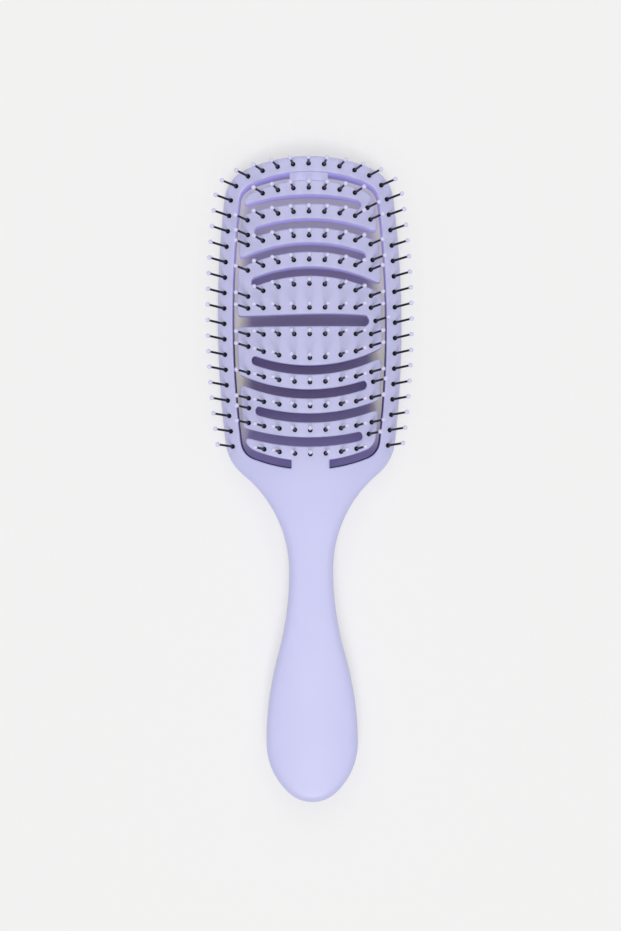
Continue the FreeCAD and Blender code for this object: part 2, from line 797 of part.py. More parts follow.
def frame_places(opening):
    # even steps along a line outside the opening, open at the neck
    path = doc.addObject("Part::Offset2D", "frame_pin_line")
    path.Source = opening
    path.setExpression("Value", "dim.frame_pin_inset")
    doc.recompute()
    loop = Part.Wire(Part.__sortEdges__(path.Shape.Edges))
    steps = 4000
    points = loop.discretize(Number=steps + 1)[:-1]
    lowest = min(range(steps), key=lambda i: points[i].y + abs(points[i].x))
    lead = number("dim.frame_pin_lead") / loop.Length * steps
    stride = (steps - 2 * lead) / (FRAME_PINS - 1)
    chosen = [points[(lowest + round(lead + i * stride)) % steps] for i in range(FRAME_PINS)]
    return [stand(p.x, p.y) for p in chosen]


def drilled(name, blank, sockets):
    made = doc.addObject("Part::Cut", name)
    made.Base = blank
    made.Tool = sockets
    made.Label = name
    return made


def build():
    sub_parts = []
    front, opening = build_front()
    panel = build_panel()
    pin, tip, socket = build_pin(), build_tip(), build_socket()
    doc.recompute()

    past_panel = f"({HALF_PANEL_LENGTH} + dim.end_gap + dim.neck_bite + dim.overrun)"
    above = (f"{PANEL_Y} + {past_panel}", "", 0)
    below = (f"{PANEL_Y} - {past_panel}", "", 0)
    blanks = {}
    for bar in range(1, BARS + 1):
        upper = slot_edge(bar - 1, -1) if bar > 1 else above
        lower = slot_edge(bar, 1) if bar < BARS else below
        blanks[bar] = strip_of_panel(panel, f"bar_{bar}", upper, lower)
    webs = {}
    for slot in range(1, BARS):
        # the serpentine is parted beside the middle slot, where its two halves meet
        gap = "dim.loop_clearance" if slot == MIDDLE_SLOT else "0"
        webs[slot] = strip_of_panel(panel, f"web_{slot}", slot_edge(slot, 1, gap), slot_edge(slot, -1))

    shell = doc.addObject("Part::Fuse", "front_with_last_bar")
    shell.Base = front
    shell.Tool = blanks[BARS]
    shell.Refine = True
    doc.recompute()

    rows = {bar: [p for row in bar_rows(bar) for p in row_places(row)] for bar in range(1, BARS + 1)}
    pins = {bar: list(places) for bar, places in rows.items()}
    frame_pins = frame_places(opening)
    for slot, web in webs.items():
        name = f"web_{slot}"
        if slot in PINNED_WEBS:
            place = web_pin(slot)
            pins[web_bar(slot)].append(place)
            sub_parts.append(drilled(name, web, copies(name + "_sockets", socket, [place])))
        else:
            web.Label = name
            sub_parts.append(web)
    for bar in range(1, BARS):
        name = f"bar_{bar}"
        sub_parts.append(drilled(name, blanks[bar], copies(name + "_sockets", socket, rows[bar])))
    for bar, places in pins.items():
        sub_parts.append(copies(f"bar_{bar}_pins", pin, places))
        sub_parts.append(copies(f"bar_{bar}_tips", tip, places))
    sub_parts.append(copies("frame_pins", pin, frame_pins))
    sub_parts.append(copies("frame_tips", tip, frame_pins))
    shell_sockets = copies("front_sockets", socket, frame_pins + rows[BARS])
    sub_parts.append(drilled("front_shell", shell, shell_sockets))
    sub_parts.append(build_cover())
    sub_parts.append(build_bridge())
    doc.recompute()
    return sub_parts


def write(sub_parts):
    for made in doc.Objects:
        if "Invalid" in made.State or "Error" in made.State:
            raise RuntimeError(f"{made.Name} failed: {made.State}")
    for made in sub_parts:
        if made.Shape.isNull() or not made.Shape.isValid() or not made.Shape.Solids:
            raise RuntimeError(f"{made.Label} has no sound shape")
    os.makedirs("parts", exist_ok=True)
    for made in sub_parts:
        made.Shape.exportStep(f"parts/{made.Label}.step")
        print(made.Label, len(made.Shape.Solids), round(made.Shape.Volume, 1))


write(build())
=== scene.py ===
import json
import math

import bmesh
import bpy
import numpy as np
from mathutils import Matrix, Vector, geometry


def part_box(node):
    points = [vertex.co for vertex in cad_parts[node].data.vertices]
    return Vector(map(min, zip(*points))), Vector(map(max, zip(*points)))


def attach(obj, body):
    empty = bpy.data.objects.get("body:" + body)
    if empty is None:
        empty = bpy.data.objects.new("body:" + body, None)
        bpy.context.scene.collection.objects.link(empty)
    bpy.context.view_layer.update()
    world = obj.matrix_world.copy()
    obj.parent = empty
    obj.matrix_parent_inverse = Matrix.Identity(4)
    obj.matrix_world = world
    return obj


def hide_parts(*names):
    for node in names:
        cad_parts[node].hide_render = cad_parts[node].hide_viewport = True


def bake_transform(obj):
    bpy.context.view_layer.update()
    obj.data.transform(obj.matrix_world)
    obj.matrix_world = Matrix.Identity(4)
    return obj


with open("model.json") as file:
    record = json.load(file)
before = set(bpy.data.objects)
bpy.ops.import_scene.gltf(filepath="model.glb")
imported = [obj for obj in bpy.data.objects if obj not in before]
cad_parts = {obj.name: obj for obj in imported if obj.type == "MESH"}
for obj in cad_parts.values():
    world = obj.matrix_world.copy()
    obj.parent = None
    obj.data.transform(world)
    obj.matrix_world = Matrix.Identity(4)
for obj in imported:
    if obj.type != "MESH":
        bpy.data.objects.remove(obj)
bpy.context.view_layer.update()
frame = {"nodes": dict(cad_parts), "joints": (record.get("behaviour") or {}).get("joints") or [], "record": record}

# Detangling brush on its back. The frame is in metres; shapes are worked out in millimetres
# and brought back to metres when their mesh is made.
mm = 0.001
scene = bpy.context.scene
nodes = frame["nodes"]
bars = range(1, 10)   # the tenth bar belongs to the front shell
bodies = frame["record"]["behaviour"]["bodies"]
bodyOfNode = {node: body for body, members in bodies.items() for node in members}


def box(*names):
    corners = np.array([[list(c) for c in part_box(name)] for name in names]) / mm
    return corners[:, 0].min(0), corners[:, 1].max(0)


# outlines

outlines = {
    "height": 5.5,        # level at which every wall of the solids stands upright
    "ringHeight": 3,      # the same, under the bars
    "levelWithin": 1e-4,  # how near to the level an edge of the cut lies
    "solidWeld": 0.003,   # points of a solid this close are one
    "weld": 0.06,         # outlines this close touch
    "joinMerge": 0.02,    # points this close are one where outlines are joined
    "loopGap": 0.25,      # the serpentine's open joint is narrower than this
    "cornerTurn": 32,     # degrees; a sharper turn is a corner
    "softTurn": 21,       # degrees; a sharper turn stops the smoothing
    "barCorner": 1.5,
    "crispCorner": 0.3,
    "crispWithin": 12,    # from the centre line
    "arcPoints": 7,       # on the arc of a corner
    "arcShare": 0.45,     # of the way to the next corner, at the most
    "step": 0.8,
}


def signedArea(loop):
    x, y = loop.T
    return 0.5 * np.sum(x * np.roll(y, -1) - np.roll(x, -1) * y)


def walk(edges):
    # closed runs through directed edges, given as pairs of keys
    following = {}
    for a, b in edges:
        following.setdefault(a, []).append(b)
    runs = []
    while following:
        start = next(iter(following))
        run, here = [], start
        while here in following:
            run.append(here)
            nexts = following[here]
            here, rest = nexts[0], nexts[1:]
            if rest:
                following[run[-1]] = rest
            else:
                del following[run[-1]]
        runs.append(run)
    return runs


def sliceLoops(node, height):
    # outlines of a solid at a level, the largest first, with the material on the left
    bm = bmesh.new()
    bm.from_mesh(nodes[node].data)
    bmesh.ops.scale(bm, vec=(1 / mm,) * 3, verts=bm.verts)
    bmesh.ops.remove_doubles(bm, verts=bm.verts, dist=outlines["solidWeld"])
    everything = bm.verts[:] + bm.edges[:] + bm.faces[:]
    bmesh.ops.bisect_plane(
        bm, geom=everything, plane_co=(0, 0, height), plane_no=(0, 0, 1), clear_outer=True
    )
    bm.verts.index_update()
    edges = []
    for edge in bm.edges:
        isLevel = all(abs(v.co.z - height) < outlines["levelWithin"] for v in edge.verts)
        if isLevel and len(edge.link_faces) == 1:
            loop = edge.link_loops[0]
            edges.append((loop.vert.index, loop.link_loop_next.vert.index))
    bm.verts.ensure_lookup_table()
    loops = [np.array([bm.verts[i].co.xy for i in run]) for run in walk(edges)]
    bm.free()
    loops.sort(key=lambda loop: -abs(signedArea(loop)))
    # the largest runs anticlockwise, and the holes the other way round
    if signedArea(loops[0]) < 0:
        loops = [loop[::-1] for loop in loops]
    return loops


def nearestOn(loop, p):
    a, b = loop, np.roll(loop, -1, axis=0)
    along = b - a
    t = np.clip(((p - a) * along).sum(1) / np.maximum((along**2).sum(1), 1e-12), 0, 1)
    foot = a + along * t[:, None]
    best = np.argmin(((foot - p) ** 2).sum(1))
    return foot[best], np.linalg.norm(foot[best] - p)


def isInside(loops, points):
    inside = np.zeros(len(points), bool)
    for loop in loops:
        for (ax, ay), (bx, by) in zip(loop, np.roll(loop, -1, axis=0)):
            if ay == by:
                continue
            crosses = (ay > points[:, 1]) != (by > points[:, 1])
            inside ^= crosses & (points[:, 0] < (bx - ax) * (points[:, 1] - ay) / (by - ay) + ax)
    return inside


def loopEdges(loops):
    # pairs of neighbours on each loop, numbered through all the loops
    edges, first = [], 0
    for loop in loops:
        edges += [(first + i, first + (i + 1) % len(loop)) for i in range(len(loop))]
        first += len(loop)
    return edges


def joinLoops(groups):
    # outlines of shapes that touch; triangles in a shape, or in a crack too narrow to count, are material
    loops = [loop for group in groups for loop in group]
    points = [Vector(p) for loop in loops for p in loop]
    made, _, faces, _, _, _ = geometry.delaunay_2d_cdt(
        points, loopEdges(loops), [], 0, outlines["joinMerge"]
    )
    made = np.array(made)
    centres = made[np.array(faces)].mean(1)
    filled = np.any([isInside(group, centres) for group in groups], axis=0)
    for i in np.flatnonzero(~filled):
        filled[i] = any(nearestOn(loop, centres[i])[1] < outlines["weld"] for loop in loops)
    rims = {}
    for face in np.array(faces)[filled].tolist():
        for pair in zip(face, face[1:] + face[:1]):
            if pair[::-1] in rims:
                del rims[pair[::-1]]
            else:
                rims[pair] = True
    found = [made[run] for run in walk(rims)]
    return sorted(found, key=lambda loop: -abs(signedArea(loop)))


def turns(loop):
    # degrees by which the loop turns at each point
    before, after = loop - np.roll(loop, 1, axis=0), np.roll(loop, -1, axis=0) - loop
    cross = before[:, 0] * after[:, 1] - before[:, 1] * after[:, 0]
    return np.degrees(np.abs(np.arctan2(cross, (before * after).sum(1))))


def roundCorners(loop, radiusAt):
    # every corner becomes an arc that leaves its two sides at the same distance along the loop
    sharp = turns(loop)
    corners = np.flatnonzero(sharp > outlines["cornerTurn"])
    if len(corners) == 0:
        return loop
    chord = np.linalg.norm(np.roll(loop, -1, axis=0) - loop, axis=1)
    at = np.concatenate([[0], np.cumsum(chord)])
    total = at[-1]
    ring = np.vstack([loop, loop[:1]])

    def on(s):
        return np.array([np.interp(s % total, at, ring[:, k]) for k in (0, 1)])

    spans = []    # place along the loop, reach to both sides and point of each corner
    for n, i in enumerate(corners):
        before, after = corners[n - 1], corners[(n + 1) % len(corners)]
        room = min((at[i] - at[before]) % total or total, (at[after] - at[i]) % total or total)
        half = math.radians(180 - sharp[i]) / 2
        reach = min(radiusAt(loop[i]) / math.tan(half), outlines["arcShare"] * room)
        spans.append((at[i], reach, loop[i]))

    def isClear(s):
        return all(abs((s - c + total / 2) % total - total / 2) >= r for c, r, _ in spans)

    out = [(s, p) for s, p in zip(at, loop) if isClear(s)]
    for c, r, p in spans:
        start, end = on(c - r), on(c + r)
        for t in np.linspace(0, 1, outlines["arcPoints"]):
            place = (1 - t) ** 2 * start + 2 * t * (1 - t) * p + t**2 * end
            out.append(((c + (2 * t - 1) * r) % total, place))
    return np.array([p for _, p in sorted(out, key=lambda pair: pair[0])])


def smooth(loop, step):
    # even points on a curve through the loop's own points
    soft = turns(loop) < outlines["softTurn"]
    count = len(loop)
    chord = np.linalg.norm(np.roll(loop, -1, axis=0) - loop, axis=1)
    out = []
    for i in range(count):
        p0, p1, p2, p3 = (loop[(i + k) % count] for k in (-1, 0, 1, 2))
        d0, d1, d2 = chord[i - 1], chord[i], chord[(i + 1) % count]
        slope = (p2 - p1) / d1
        m1 = ((p1 - p0) / d0 * d1 + slope * d0) / (d0 + d1) if soft[i] else slope
        m2 = ((p3 - p2) / d2 * d1 + slope * d2) / (d1 + d2) if soft[(i + 1) % count] else slope
        pieces = max(1, round(d1 / step))
        for t in np.arange(pieces) / pieces:
            out.append(
                (2 * t**3 - 3 * t**2 + 1) * p1 + (t**3 - 2 * t**2 + t) * d1 * m1
                + (3 * t**2 - 2 * t**3) * p2 + (t**3 - t**2) * d1 * m2
            )
    return np.array(out)


def cornerRadius(p):
    # free ends of the bars are round; the corners at the neck and the bridge are crisp
    return outlines["barCorner"] if abs(p[0]) > outlines["crispWithin"] else outlines["crispCorner"]


def tidyLoop(loop):
    return smooth(roundCorners(loop, cornerRadius), outlines["step"])


# moulded slabs

slabs = {
    "roundSteps": 5,
    "grid": 2.2,      # spacing of the points on a face
    "apart": 0.55,    # no point of the grid is nearer to an edge than this share of the spacing
    "weld": 1e-5,     # points this close are one
    "faceMerge": 1e-6,
}


def inward(loop):
    # directions into the material, which is on the left
    along = np.roll(loop, -1, axis=0) - np.roll(loop, 1, axis=0)
    along /= np.linalg.norm(along, axis=1)[:, None]
    return np.stack([-along[:, 1], along[:, 0]], axis=1)


def faceBetween(loops):
    # a grid of points inside the loops, and triangles over the loops' points followed by the grid's
    rim = np.concatenate(loops)
    low, high = rim.min(0), rim.max(0)
    spacing = slabs["grid"]
    axes = [np.arange(low[k] + spacing / 2, high[k], spacing) for k in (0, 1)]
    grid = np.stack(np.meshgrid(*axes), axis=-1).reshape(-1, 2)
    grid = grid[isInside(loops, grid)]
    near = np.array([((rim - p) ** 2).sum(1).min() for p in grid]).reshape(-1)
    grid = grid[near > (slabs["apart"] * spacing) ** 2]
    points = np.concatenate([rim, grid])
    _, _, faces, origin, _, _ = geometry.delaunay_2d_cdt(
        [Vector(p) for p in points], loopEdges(loops), [], 1, slabs["faceMerge"]
    )
    key = [min(o) if o else None for o in origin]
    faces = [[key[i] for i in face] for face in faces]
    faces = [face for face in faces if None not in face and len(set(face)) == 3]
    centres = np.array([points[face].mean(0) for face in faces])
    kept = isInside(loops, centres)
    return grid, [face for face, keep in zip(faces, kept) if keep]


def slab(loops, top, bottom, topRounds, bottomRounds):
    # closed mesh between two height functions; a loop has one edge rounding, or one for each point
    verts, faces = [], []
    steps = slabs["roundSteps"]
    ends = {"top": [], "bottom": []}
    for loop, topRound, bottomRound in zip(loops, topRounds, bottomRounds):
        into = inward(loop)
        rings = []
        topRound, bottomRound = (np.broadcast_to(r, len(loop)) for r in (topRound, bottomRound))
        quarter = np.linspace(0, math.pi / 2, steps)
        for a in quarter if np.any(bottomRound) else quarter[-1:]:
            ring = loop + into * (bottomRound * (1 - math.sin(a)))[:, None]
            rings.append(np.column_stack([ring, bottom(ring) + bottomRound * (1 - math.cos(a))]))
        for a in quarter if np.any(topRound) else quarter[:1]:
            ring = loop + into * (topRound * (1 - math.cos(a)))[:, None]
            rings.append(np.column_stack([ring, top(ring) - topRound * (1 - math.sin(a))]))
        count = len(loop)
        firsts = []
        for ring in rings:
            firsts.append(len(verts))
            verts.extend(ring)
        for low, high in zip(firsts, firsts[1:]):
            for i in range(count):
                j = (i + 1) % count
                faces.append((low + i, low + j, high + j, high + i))
        ends["bottom"].append((firsts[0], rings[0][:, :2]))
        ends["top"].append((firsts[-1], rings[-1][:, :2]))
    for side, height in (("top", top), ("bottom", bottom)):
        rims = [ring for _, ring in ends[side]]
        starts = [first + i for first, ring in ends[side] for i in range(len(ring))]
        grid, triangles = faceBetween(rims)
        first = len(verts)
        verts.extend(np.column_stack([grid, height(grid)]))
        index = starts + list(range(first, first + len(grid)))
        for face in triangles:
            face = [index[i] for i in face]
            faces.append(face if side == "top" else face[::-1])
    return np.array(verts), faces


def toBmesh(verts, faces):
    bm = bmesh.new()
    made = [bm.verts.new(v) for v in verts]
    for face in faces:
        bm.faces.new([made[i] for i in face])
    # where an edge has no rounding, its rings are one
    bmesh.ops.remove_doubles(bm, verts=bm.verts, dist=slabs["weld"])
    return bm


def toObject(name, bm):
    bmesh.ops.scale(bm, vec=(mm,) * 3, verts=bm.verts)
    bmesh.ops.recalc_face_normals(bm, faces=bm.faces)
    mesh = bpy.data.meshes.new(name)
    bm.to_mesh(mesh)
    bm.free()
    mesh.shade_smooth()
    obj = bpy.data.objects.new(name, mesh)
    scene.collection.objects.link(obj)
    return obj


def creased(obj, degrees):
    # edges sharper than this stay sharp in the shading
    obj.data.set_sharp_from_angle(angle=math.radians(degrees))
    return obj


# the moulding: frame, neck, handle front and the whole serpentine, rounded as one piece and then parted

shell = {
    "outerRound": 2.4,
    "edgeRound": 0.6,
    "openingLip": 0.35,   # stands into the opening along its foot
    "backRound": 3,
    "seamRound": 0.22,    # half of the groove where the two halves of the handle meet
    "seamClear": 1,       # the parting plane is read this far past the seam
    "domeRadius": 76,
    "crease": 40,         # degrees
    "seamStep": 0.002,    # the step under the neck stands this far from upright
    "joinWeld": 0.002,    # points this close become one where the back is joined on
    "openWeb": 5,         # where the serpentine's chain of hinges is open
    "webReach": 1,        # half length of the stretch of a web that bends
    "webSide": 0.9,       # the cuts reach this far past a web's outer side, clear of the frame,
    "webInside": 2.6,     # this far past its inner side
    "webAlong": 4,        # and this far from its middle along the brush
}

barLow, barHigh = box(*(f"bar_{n}" for n in bars))
barFloor = barLow[2]
apex = barHigh[2]
seamY = box("handle_cover")[1][1]    # the cover ends here, under the neck
shellPoints = [v.co for v in nodes["front_shell"].data.vertices]
partingHeight = min(c.z for c in shellPoints if c.y / mm < seamY - shell["seamClear"]) / mm


def dome(points):
    return apex - shell["domeRadius"] + np.sqrt(shell["domeRadius"] ** 2 - points[:, 0] ** 2)


def underside(points):
    return np.where(points[:, 1] < seamY, partingHeight, barFloor)


def seamSplit(loop):
    # two points a hair apart wherever the loop passes the seam, so that the step there is upright
    out = []
    for p, q in zip(loop, np.roll(loop, -1, axis=0)):
        out.append(p)
        if (p[1] - seamY) * (q[1] - seamY) < 0:
            for side in (1, -1) if p[1] > q[1] else (-1, 1):
                y = seamY + side * shell["seamStep"]
                out.append(p + (q - p) * (y - p[1]) / (q[1] - p[1]))
    return np.array(out)


def closeWebGap(loop, bar):
    found = [nearestOn(bar, p) for p in loop]
    return np.array([foot if away < outlines["loopGap"] else p for p, (foot, away) in zip(loop, found)])


level = outlines["height"]
barLoops = {n: sliceLoops(f"bar_{n}", level)[0] for n in bars}
webLoops = {n: sliceLoops(f"web_{n}", level)[0] for n in bars}
openWeb = shell["openWeb"]
webLoops[openWeb] = closeWebGap(webLoops[openWeb], barLoops[openWeb])
touching = [
    sliceLoops("front_shell", level), sliceLoops("handle_cover", level),
    *([loop] for loop in (*barLoops.values(), *webLoops.values())),
]
outer, hole, *specks = joinLoops(touching)
print("outlines joined,", len(specks), "specks left out")
outer = seamSplit(tidyLoop(outer))
hole = tidyLoop(hole)
opening = tidyLoop(sliceLoops("front_shell", outlines["ringHeight"])[1])
if signedArea(opening) > 0:
    opening = opening[::-1]    # material on the left, as round every hole
print("outlines:", len(outer), len(hole), len(opening), "points")


def seamRound():
    # the groove is only where the two halves of the handle meet
    return np.where(outer[:, 1] < seamY, shell["seamRound"], 0)


def buildMoulding():
    topRounds, bottomRounds = [shell["outerRound"], shell["edgeRound"]], [seamRound(), 0]
    return toBmesh(*slab([outer, hole], dome, underside, topRounds, bottomRounds))


def webSlope(n):
    # the way a slot runs where its web closes it, from the web's own outline
    loop = webLoops[n]
    isUpper = loop[:, 1] - loop.mean(0)[1] > 0
    slopes = []
    for half in (loop[isUpper], loop[~isUpper]):
        left, right = half[np.argmin(half[:, 0])], half[np.argmax(half[:, 0])]
        slopes.append((right[1] - left[1]) / (right[0] - left[0]))
    return float(np.mean(slopes))


def partWebs(bm):
    # two cuts across each web; the middle stretch, the part that flexes on the brush, becomes a piece of its own,
    # and the bars keep the stubs
    cutEdges = []
    for n in bars:
        loop = webLoops[n]
        hand = 1 if n % 2 else -1    # right and left by turns
        side, within = max(hand * loop[:, 0]), min(hand * loop[:, 0])
        middle = (loop.min(0) + loop.max(0)) / 2
        across = Vector((-webSlope(n), 1, 0)).normalized()
        for sign in (1, -1):
            faces = [
                f for f in bm.faces
                if all(
                    within - shell["webInside"] < hand * v.co.x < side + shell["webSide"]
                    and abs(v.co.y - middle[1]) < shell["webAlong"]
                    for v in f.verts
                )
            ]
            edges = list(dict.fromkeys(e for f in faces for e in f.edges))
            verts = list(dict.fromkeys(v for f in faces for v in f.verts))
            at = Vector((middle[0], middle[1], 0)) + across * (sign * shell["webReach"])
            cut = bmesh.ops.bisect_plane(
                bm, geom=verts + edges + faces, plane_co=at, plane_no=across, dist=slabs["weld"]
            )["geom_cut"]
            cutEdges += [e for e in cut if isinstance(e, bmesh.types.BMEdge)]
    bmesh.ops.split_edges(bm, edges=[e for e in dict.fromkeys(cutEdges) if e.is_valid])


def islands(bm):
    # groups of joined faces, in the same order on every run
    left = dict.fromkeys(bm.faces)
    while left:
        grown, edge = [], [next(iter(left))]
        del left[edge[0]]
        while edge:
            face = edge.pop()
            grown.append(face)
            for e in face.edges:
                for other in e.link_faces:
                    if other in left:
                        del left[other]
                        edge.append(other)
        yield grown


def separate(faces):
    # a mesh of its own, closed where it was cut
    made = bmesh.new()
    copies = {}
    for face in faces:
        for v in face.verts:
            if v not in copies:
                copies[v] = made.verts.new(v.co)
        made.faces.new([copies[v] for v in face.verts])
    rims = [e for e in made.edges if len(e.link_faces) == 1]
    if rims:
        bmesh.ops.holes_fill(made, edges=rims, sides=0)
    return made


def nearestNode(bm):
    co = np.array([v.co for v in bm.verts])
    middle = (co.min(0) + co.max(0)) / 2
    names = [f"{kind}_{n}" for kind in ("bar", "web") for n in bars]

    def away(name):
        low, high = box(name)
        return np.linalg.norm((low + high) / 2 - middle)

    return min(names, key=away)


def backSlab():
    # the flat back of the head and the whole handle cover, rounded as one
    def flat(points):
        return np.zeros(len(points))

    # the opening runs the other way round here, so that its lip stands into it
    topRounds, bottomRounds = [seamRound(), 0], [shell["backRound"], shell["openingLip"]]
    return toBmesh(*slab([outer, opening[::-1]], underside, flat, topRounds, bottomRounds))


def cutAtSeam(bm, keepHead):
    everything = bm.verts[:] + bm.edges[:] + bm.faces[:]
    away = (0, -1 if keepHead else 1, 0)    # what lies on this side goes
    bmesh.ops.bisect_plane(
        bm, geom=everything, plane_co=(0, seamY, 0), plane_no=away, clear_outer=True
    )
    rims = [e for e in bm.edges if len(e.link_faces) == 1]
    bmesh.ops.holes_fill(bm, edges=rims, sides=0)
    return bm


def joined(name, first, second):
    # two bodies that touch become one skin
    obj, other = toObject(name, first), toObject("other", second)
    union = obj.modifiers.new("union", "BOOLEAN")
    union.operation, union.solver, union.object = "UNION", "EXACT", other
    bm = bmesh.new()
    bm.from_object(obj, bpy.context.evaluated_depsgraph_get())
    obj.modifiers.clear()
    bpy.data.objects.remove(other)
    bmesh.ops.triangulate(bm, faces=bm.faces)
    bmesh.ops.remove_doubles(bm, verts=bm.verts, dist=shell["joinWeld"] * mm)
    bmesh.ops.dissolve_degenerate(bm, edges=bm.edges, dist=shell["joinWeld"] * mm)
    bm.to_mesh(obj.data)
    bm.free()
    obj.data.shade_smooth()
    return obj


pieces = {}
moulding = buildMoulding()
partWebs(moulding)
parts = [separate(faces) for faces in islands(moulding)]
parts.sort(key=lambda bm: -len(bm.verts))    # the shell comes first
moulding.free()
print("moulding parted into", len(parts), "pieces")
pieces["front_shell"] = joined("frontShell", parts.pop(0), cutAtSeam(backSlab(), True))
pieces["handle_cover"] = toObject("handleCover", cutAtSeam(backSlab(), False))
for part in parts:
    node = nearestNode(part)
    pieces[node] = toObject(node.replace("_", ""), part)
for node, piece in pieces.items():
    creased(piece, shell["crease"])
    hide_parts(node)


def jointOfWeb(node):
    # the joint that declares this web as deforming
    def bends(joint):
        return any(d["node"] == node for d in joint.get("deforming_nodes", []))

    return next(joint for joint in frame["joints"] if bends(joint))


for node, piece in pieces.items():
    kind, _, number = node.partition("_")
    if kind == "web" and int(number) != openWeb:
        joint = jointOfWeb(node)
        centre = Vector(joint["pos_m"])
        sense = 1 if joint["axis"][0] > 0 else -1
        along = Vector((-webSlope(int(number)), 1, 0)).normalized() * shell["webReach"] * mm
        centre + along * sense
        centre - along * sense
        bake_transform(piece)
    else:
        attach(piece, bodyOfNode[node])


# top bridge

bridge = {"round": 0.15, "drop": 0.4}    # its top lies this far under the dome


def buildBridge():
    low, high = box("top_bridge")
    loop = tidyLoop(sliceLoops("top_bridge", (low[2] + high[2]) / 2)[0])
    rounds = [bridge["round"]]

    def top(points):
        return dome(points) - bridge["drop"]

    def bottom(points):
        return np.full(len(points), barFloor)

    made = toBmesh(*slab([loop], top, bottom, rounds, rounds))
    piece = creased(toObject("topBridge", made), shell["crease"])
    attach(piece, bodyOfNode["top_bridge"])
    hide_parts("top_bridge")
    return piece


pieces["top_bridge"] = buildBridge()
print("bridge made")


# bristle pins and ball tips

pin = {
    "solidWeld": 0.001,   # points of a solid this close are one
    "footWithin": 0.05,   # points of a solid this near its lower end make its foot
    "socketDepth": 3,
    "rootDepth": 0.6,     # the drawn pin goes this far into the bar
    "collarRadius": 0.88,
    "collarHeight": 0.62,
    "collarEdge": 0.14,   # upright edge under the collar's dome
    "collarSteps": 6,
    "filletOut": 0.06,
    "filletUp": 0.12,
    "stemRadius": 0.46,
    "stemTop": 0.4,
    "taperFrom": 0.6,     # above the collar
    "endBevel": 0.2,
    "intoBall": 0.3,      # the stem ends this far inside the ball
    "ballRadius": 0.84,
    "ballSeat": 0.45,     # radius of the circle in which the ball sits on the solid's end
    "straighten": 1.5,    # degrees; the pins in the picture rake a little less than the solids
    "sides": 20,
    "ballRings": 12,
    "crease": 50,         # degrees
}


def pinAxes(node):
    # foot, direction and free length of every pin of a node, from its solids
    bm = bmesh.new()
    bm.from_mesh(nodes[node].data)
    bmesh.ops.remove_doubles(bm, verts=bm.verts, dist=pin["solidWeld"] * mm)
    axes = []
    for faces in islands(bm):
        corners = dict.fromkeys(v for f in faces for v in f.verts)
        co = np.array([v.co for v in corners]) / mm
        centre = co.mean(0)
        axis = np.linalg.svd(co - centre)[2][0]
        axis = axis * np.sign(axis[2])
        reach = (co - centre) @ axis
        low = co[reach < reach.min() + pin["footWithin"]].mean(0)
        turn = math.radians(pin["straighten"])
        axis = np.array([axis[0], axis[1] - axis[2] * math.sin(turn), axis[2]])
        axis /= np.linalg.norm(axis)
        length = reach.max() - reach.min() - pin["socketDepth"]
        axes.append((low + axis * pin["socketDepth"], axis, length))
    bm.free()
    return sorted(axes, key=lambda a: (round(a[0][1], 2), a[0][0]))


def turned(profile, base, axis, verts, faces):
    # a profile of (radius, height) turned round an axis, closed at both ends
    spin = Vector((0, 0, 1)).rotation_difference(Vector(axis)).to_matrix()
    sides = pin["sides"]
    rings = []
    for radius, height in profile:
        if radius == 0:
            rings.append([len(verts)])
            verts.append(Vector(base) + spin @ Vector((0, 0, height)))
            continue
        rings.append(list(range(len(verts), len(verts) + sides)))
        for k in range(sides):
            a = 2 * math.pi * k / sides
            place = Vector((radius * math.cos(a), radius * math.sin(a), height))
            verts.append(Vector(base) + spin @ place)
    for low, high in zip(rings, rings[1:]):
        for k in range(sides):
            j = (k + 1) % sides
            if len(low) == 1:
                faces.append((low[0], high[j], high[k]))
            elif len(high) == 1:
                faces.append((low[k], low[j], high[0]))
            else:
                faces.append((low[k], low[j], high[j], high[k]))


def stemProfile(length):
    # a domed collar, a small fillet and a slightly tapered stem
    r, h, s = pin["collarRadius"], pin["collarHeight"], pin["stemRadius"]
    out, edge, root = pin["filletOut"], pin["collarEdge"], -pin["rootDepth"]
    shoulder = [
        (s + out + (r - s - out) * math.cos(a), edge + (h - edge) * math.sin(a))
        for a in np.linspace(0, math.pi / 2, pin["collarSteps"])
    ]
    stem = [(s, h + pin["filletUp"]), (s, h + pin["taperFrom"]), (pin["stemTop"], length - pin["endBevel"])]
    return [(0, root), (r, root), *shoulder, *stem, (0, length)]


def ballProfile(centre):
    r, rings = pin["ballRadius"], pin["ballRings"]
    turn = np.linspace(0, math.pi, rings + 1)[1:-1]
    between = [(r * math.sin(a), centre - r * math.cos(a)) for a in turn]
    return [(0, centre - r), *between, (0, centre + r)]


def buildPins(row):
    stems, balls = ([], []), ([], [])
    for base, axis, length in pinAxes(f"{row}_pins"):
        centre = length + math.sqrt(pin["ballRadius"] ** 2 - pin["ballSeat"] ** 2)
        turned(stemProfile(length + pin["intoBall"]), base, axis, *stems)
        turned(ballProfile(centre), base, axis, *balls)
    for kind, (verts, faces) in (("pins", stems), ("tips", balls)):
        node = f"{row}_{kind}"
        piece = creased(toObject(node.replace("_", ""), toBmesh(verts, faces)), pin["crease"])
        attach(piece, bodyOfNode[node])
        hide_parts(node)
        pieces[node] = piece


rows = ["frame", *(f"bar_{n}" for n in (*bars, 10))]
for row in rows:
    buildPins(row)
print("pins on", len(rows), "rows")


# finishes

